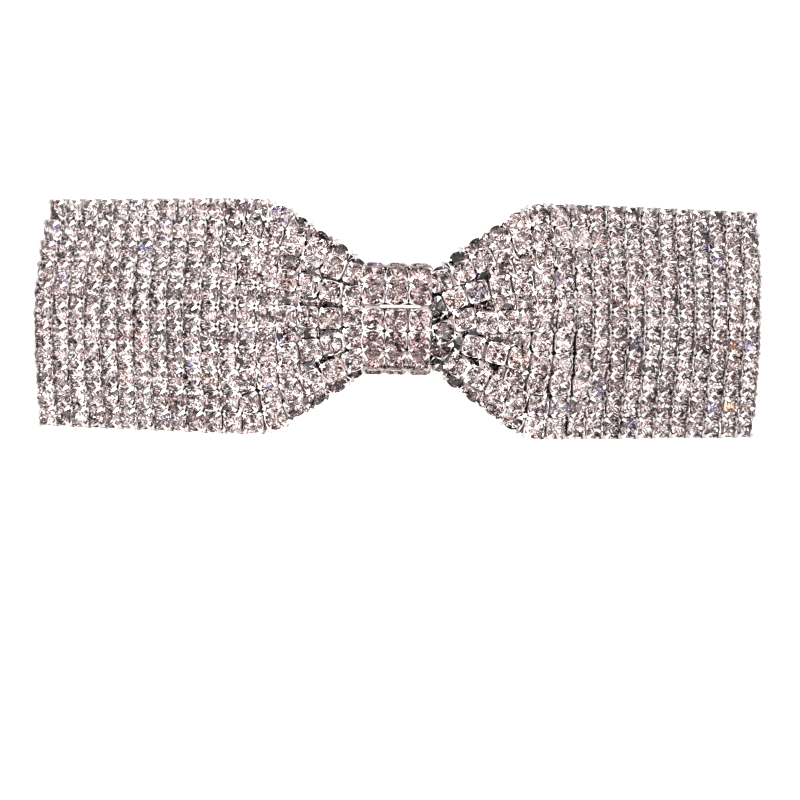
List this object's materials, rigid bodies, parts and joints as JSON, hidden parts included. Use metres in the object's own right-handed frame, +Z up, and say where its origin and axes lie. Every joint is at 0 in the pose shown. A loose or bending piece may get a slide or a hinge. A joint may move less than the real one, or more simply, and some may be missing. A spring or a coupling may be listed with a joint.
{
  "type": "rhinestone bow hair clip",
  "caption": "Arched bow of rhinestone chains pinched by a wrapped knot, on an automatic barrette with a hinged clasp bar, tension leaf and squeeze latch.",
  "frame": {"origin": "under the middle of the clip's box, on the surface that the lower long edges of the wings stand on", "axes": "+X along the bow to the latch end, -Y out of the stone faces, +Y towards the head, +Z up across the bow"},
  "size_m": [0.1016, 0.033, 0.0313],
  "materials": {
    "silver_cup": "bright silver plating on small stamped stone cups",
    "stone": "clear faceted glass over a bright foil back",
    "nickel_sheet": "bright nickel plating on stamped sheet, fine handling scratches",
    "spring_steel": "polished nickel-plated spring steel",
    "steel_pin": "plain drawn wire",
    "clear_glue": "cured clear adhesive, slightly yellow"
  },
  "bodies": {
    "bow": {"chain_row_01": "silver_cup", "chain_row_02": "silver_cup", "chain_row_03": "silver_cup", "chain_row_04": "silver_cup", "chain_row_05": "silver_cup", "chain_row_06": "silver_cup", "chain_row_07": "silver_cup", "chain_row_08": "silver_cup", "chain_row_09": "silver_cup", "chain_row_10": "silver_cup", "chain_row_11": "silver_cup", "knot_chain_left": "silver_cup", "knot_chain_middle": "silver_cup", "knot_chain_right": "silver_cup", "knot_seam_strip": "nickel_sheet", "base_plate": "nickel_sheet", "glue_pad_left": "clear_glue", "glue_pad_right": "clear_glue", "hinge_bracket": "nickel_sheet", "hinge_rivet": "steel_pin", "hinge_pin": "steel_pin", "latch_base": "nickel_sheet", "latch_rivet": "steel_pin"},
    "clasp": {"clasp_bar": "nickel_sheet"},
    "leaf": {"tension_leaf": "spring_steel"},
    "wing_upper": {"latch_wing_upper": "spring_steel"},
    "wing_lower": {"latch_wing_lower": "spring_steel"}
  },
  "joints": [
    {"name": "clasp_hinge", "type": "hinge", "parent": "bow", "child": "clasp", "pos_m": [-0.0348, 0.01243, 0.01563], "axis": [0, 0, 1], "range_deg": [0, 95]},
    {"name": "leaf_flex", "type": "hinge", "parent": "bow", "child": "leaf", "pos_m": [-0.02795, 0.00024, 0.01563], "axis": [0, 0, 1], "range_deg": [0, 8]},
    {"name": "latch_squeeze", "type": "hinge", "parent": "bow", "child": "wing_upper", "pos_m": [0.03455, 0.00596, 0.01973], "axis": [-0.8387, -0.5446, 0], "range_deg": [0, 7], "stiffness_Nm_per_rad": 0.01},
    {"name": "latch_squeeze_lower", "type": "hinge", "parent": "bow", "child": "wing_lower", "pos_m": [0.03455, 0.00596, 0.01154], "axis": [0.8387, 0.5446, 0], "range_deg": [0, 7], "stiffness_Nm_per_rad": 0.01}
  ],
  "couplings": [
    {"joint": "leaf_flex", "follows": "clasp_hinge", "ratio": 0.08},
    {"joint": "latch_squeeze_lower", "follows": "latch_squeeze", "ratio": 1}
  ]
}
